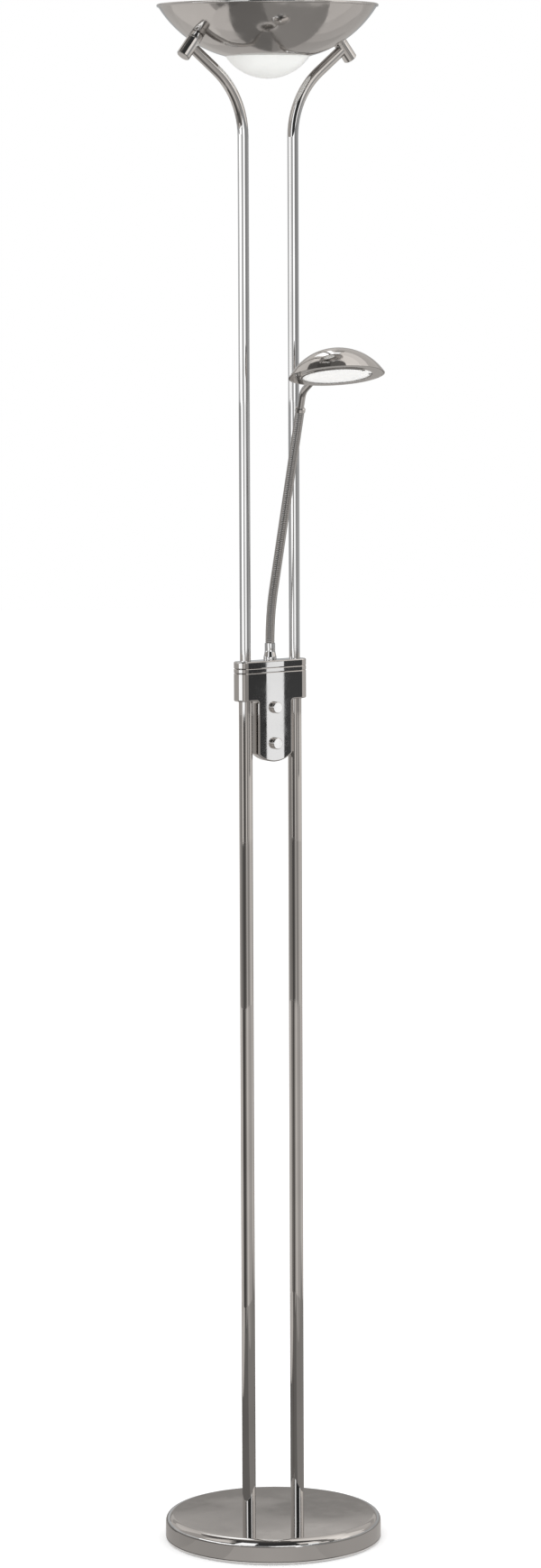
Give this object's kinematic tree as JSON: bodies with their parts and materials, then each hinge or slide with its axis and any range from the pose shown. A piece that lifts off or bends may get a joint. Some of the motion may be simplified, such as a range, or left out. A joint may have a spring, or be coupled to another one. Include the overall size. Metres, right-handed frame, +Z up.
{
  "type": "torchiere floor lamp with reading light",
  "caption": "Floor lamp on a round base: twin poles carry an uplight bowl, and a flexible arm from the control housing carries a small reading shade.",
  "frame": {"origin": "centre of the underside of the round base, on the floor", "axes": "+Z up along the poles, +X from the left pole to the right pole, the dials and the reading head face -Y"},
  "size_m": [0.255, 0.3441, 1.8],
  "materials": {
    "satin_chrome": "polished plated steel with a slightly warm reflection",
    "tube_chrome": "plated steel tube, polished along its length",
    "turned_chrome": "turned and plated brass, fine lathe lines",
    "housing_chrome": "plated die casting, smooth faces",
    "knob_chrome": "plated, fluted grip",
    "neck_chrome": "wound flexible steel tube, plated",
    "stem_chrome": "plated bent tube",
    "shade_chrome": "spun and plated steel shade",
    "ring_chrome": "pressed and plated ring",
    "bowl_chrome": "spun and plated steel bowl",
    "cast_weight": "rough casting",
    "foot_pad": "soft foam pad",
    "zinc_steel": "zinc plated",
    "turned_brass": "turned",
    "black_rubber": "moulded bush",
    "circuit_board": "bare board",
    "white_plastic": "moulded",
    "black_plastic": "moulded",
    "frosted_lens": "frosted pressed glass",
    "opal_glass": "opal white glass, satin outside",
    "quartz_glass": "clear quartz tube",
    "spring_steel": "dark spring wire",
    "cast_zinc": "as cast",
    "lamp_ceramic": "unglazed ceramic",
    "galvanised_strap": "galvanised strip"
  },
  "bodies": {
    "stand": {"arm_ferrule": "turned_chrome", "barrel_left": "turned_chrome", "barrel_right": "turned_chrome", "base_cover": "satin_chrome", "base_grommet": "black_rubber", "base_nuts": "zinc_steel", "base_pad": "foot_pad", "base_studs": "zinc_steel", "base_washers": "zinc_steel", "base_weight": "cast_weight", "bowl_screws": "zinc_steel", "bowl_shell": "bowl_chrome", "bowl_spacers": "zinc_steel", "control_board": "circuit_board", "dimmer_lower": "black_plastic", "dimmer_upper": "black_plastic", "ferrule_nut": "zinc_steel", "glass_dome": "opal_glass", "housing_back": "housing_chrome", "housing_front": "housing_chrome", "housing_screws": "zinc_steel", "lamp_strap": "galvanised_strap", "lampholder_left": "lamp_ceramic", "lampholder_right": "lamp_ceramic", "linear_lamp": "quartz_glass", "lower_pole_left": "tube_chrome", "lower_pole_right": "tube_chrome", "pole_coupler_left": "turned_brass", "pole_coupler_right": "turned_brass", "pole_plugs": "zinc_steel", "terminal_block": "white_plastic", "upper_pole_left": "tube_chrome", "upper_pole_right": "tube_chrome"},
    "arm_lower": {"gooseneck_lower": "neck_chrome"},
    "arm_middle": {"gooseneck_middle": "neck_chrome"},
    "reading_head": {"gooseneck_upper": "neck_chrome", "gooseneck_collar": "turned_chrome", "head_stem": "stem_chrome", "head_shell": "shade_chrome", "head_ring": "ring_chrome", "head_lens": "frosted_lens", "lens_circlip": "spring_steel", "head_hub": "cast_zinc", "head_lampholder": "lamp_ceramic", "halogen_capsule": "quartz_glass"},
    "dial_upper": {"knob_upper": "knob_chrome", "dimmer_shaft_upper": "zinc_steel"},
    "dial_lower": {"knob_lower": "knob_chrome", "dimmer_shaft_lower": "zinc_steel"}
  },
  "joints": [
    {"name": "arm_swing", "type": "hinge", "parent": "stand", "child": "arm_lower", "pos_m": [-0.00053, -0.00509, 1.11145], "axis": [-0.1045, -0.9945, 0], "range_deg": [-40, 40], "deforming": ["gooseneck_lower"]},
    {"name": "arm_reach", "type": "hinge", "parent": "arm_lower", "child": "arm_middle", "pos_m": [-0.00341, -0.03245, 1.20138], "axis": [0.9945, -0.1045, 0], "range_deg": [-20, 60], "deforming": ["gooseneck_middle"]},
    {"name": "head_nod", "type": "hinge", "parent": "arm_middle", "child": "reading_head", "pos_m": [-0.00637, -0.06058, 1.29108], "axis": [0.9945, -0.1045, 0], "range_deg": [-40, 45], "deforming": ["gooseneck_upper"]},
    {"name": "dial_upper_turn", "type": "hinge", "parent": "stand", "child": "dial_upper", "pos_m": [0, -0.014, 0.9905], "axis": [0, 1, 0], "range_deg": [0, 280]},
    {"name": "dial_lower_turn", "type": "hinge", "parent": "stand", "child": "dial_lower", "pos_m": [0, -0.014, 0.9485], "axis": [0, 1, 0], "range_deg": [0, 280]}
  ]
}
